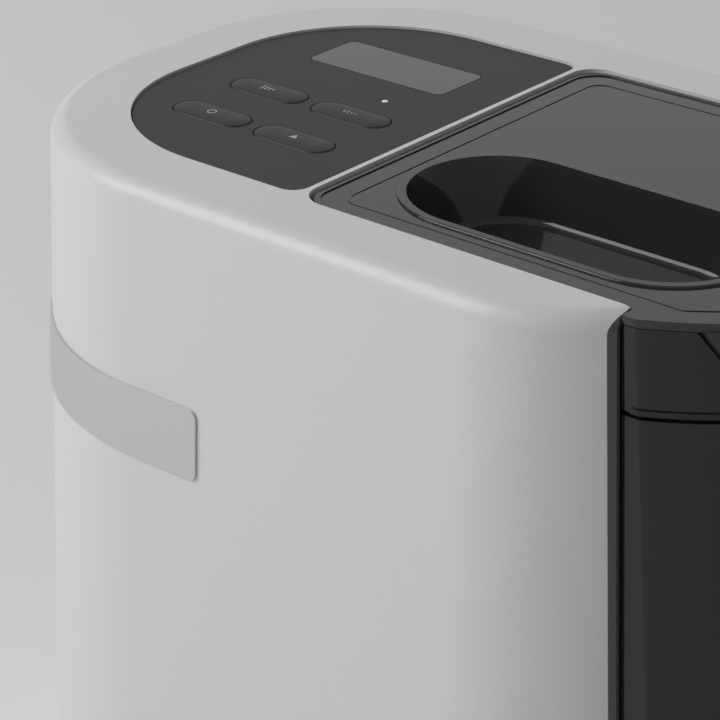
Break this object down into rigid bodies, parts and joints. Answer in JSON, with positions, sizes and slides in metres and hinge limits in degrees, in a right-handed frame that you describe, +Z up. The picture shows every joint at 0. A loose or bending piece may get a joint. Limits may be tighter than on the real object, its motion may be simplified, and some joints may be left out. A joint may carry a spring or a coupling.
{
  "type": "electric pasta maker",
  "caption": "Table-top electric pasta maker: white casing with a rounded rear, smoked lid and front, soft-touch buttons, mixing bowl, geared screw and shaping disc.",
  "frame": {"origin": "on the table, under the middle of the machine's bounding box", "axes": "+X towards the front where the dough comes out, +Z up, the user at the buttons stands on the -Y side"},
  "size_m": [0.3532, 0.2384, 0.2851],
  "materials": {
    "white_case": "satin moulded ABS",
    "dark_panel": "soft-touch moulded",
    "black_plastic": "moulded",
    "smoked_clear": "smoked transparent polycarbonate",
    "display_glass": "polished",
    "band_steel": "brushed",
    "machined_steel": "machined",
    "bracket_steel": "galvanised",
    "cast_aluminium": "cast",
    "motor_steel": "painted",
    "gear_nylon": "moulded nylon",
    "screw_plastic": "moulded acetal",
    "seal_silicone": "moulded silicone",
    "foot_rubber": "moulded",
    "board_green": "solder mask",
    "led_white": "clear",
    "magnet": "plated"
  },
  "bodies": {
    "housing": {"body_shell": "white_case", "base_plate": "black_plastic", "foot_pads": "foot_rubber", "load_cells": "cast_aluminium", "base_screws": "machined_steel", "rear_band": "band_steel", "control_panel": "dark_panel", "display_window": "display_glass", "display_module": "black_plastic", "status_led": "led_white", "control_board": "board_green", "lid_switch": "black_plastic", "bowl": "smoked_clear", "bowl_seal": "seal_silicone", "barrel": "smoked_clear", "shaping_disc": "screw_plastic", "front_frame": "black_plastic", "idler_pin": "machined_steel", "front_bearing": "machined_steel", "rear_bearing": "machined_steel", "gearbox_housing": "cast_aluminium", "gearbox_screws": "machined_steel", "motor_bracket": "bracket_steel", "motor_can": "motor_steel", "power_inlet": "black_plastic", "power_board": "board_green"},
    "lid_body": {"lid": "smoked_clear", "lid_seal": "seal_silicone", "lid_magnet": "magnet"},
    "cover_body": {"front_cover": "smoked_clear"},
    "nut_body": {"ring_nut": "black_plastic"},
    "screw_body": {"extrusion_screw": "screw_plastic", "mixing_paddle": "screw_plastic", "output_shaft": "machined_steel", "output_gear": "machined_steel"},
    "idler_body": {"idler_gear": "gear_nylon"},
    "rotor_body": {"motor_shaft": "machined_steel", "pinion": "machined_steel", "cooling_fan": "black_plastic"},
    "tare_button_body": {"tare_button": "dark_panel"},
    "start_button_body": {"start_button": "dark_panel"},
    "mode_button_body": {"mode_button": "dark_panel"},
    "pasta_button_body": {"pasta_button": "dark_panel"}
  },
  "joints": [
    {"name": "lid_lift", "type": "slide", "parent": "housing", "child": "lid_body", "axis": [0, 0, 1], "range_m": [0, 0.06]},
    {"name": "cover_pull", "type": "slide", "parent": "housing", "child": "cover_body", "axis": [1, 0, 0], "range_m": [0, 0.06]},
    {"name": "nut_turn", "type": "hinge", "parent": "housing", "child": "nut_body", "pos_m": [0.16, 0, 0.16], "axis": [1, 0, 0], "range_deg": [0, 60]},
    {"name": "screw_turn", "type": "hinge", "parent": "housing", "child": "screw_body", "pos_m": [0, 0, 0.16], "axis": [1, 0, 0], "continuous": true},
    {"name": "idler_turn", "type": "hinge", "parent": "housing", "child": "idler_body", "pos_m": [-0.067, 0.04, 0.11004], "axis": [1, 0, 0], "continuous": true},
    {"name": "motor_turn", "type": "hinge", "parent": "housing", "child": "rotor_body", "pos_m": [-0.1, 0, 0.08942], "axis": [1, 0, 0], "continuous": true},
    {"name": "tare_button_press", "type": "slide", "parent": "housing", "child": "tare_button_body", "axis": [0, 0, -1], "range_m": [0, 0.001], "stiffness_N_per_m": 400},
    {"name": "start_button_press", "type": "slide", "parent": "housing", "child": "start_button_body", "axis": [0, 0, -1], "range_m": [0, 0.001], "stiffness_N_per_m": 400},
    {"name": "mode_button_press", "type": "slide", "parent": "housing", "child": "mode_button_body", "axis": [0, 0, -1], "range_m": [0, 0.001], "stiffness_N_per_m": 400},
    {"name": "pasta_button_press", "type": "slide", "parent": "housing", "child": "pasta_button_body", "axis": [0, 0, -1], "range_m": [0, 0.001], "stiffness_N_per_m": 400}
  ],
  "couplings": [
    {"joint": "idler_turn", "follows": "screw_turn", "ratio": -3.5714},
    {"joint": "motor_turn", "follows": "screw_turn", "ratio": 17.857}
  ]
}
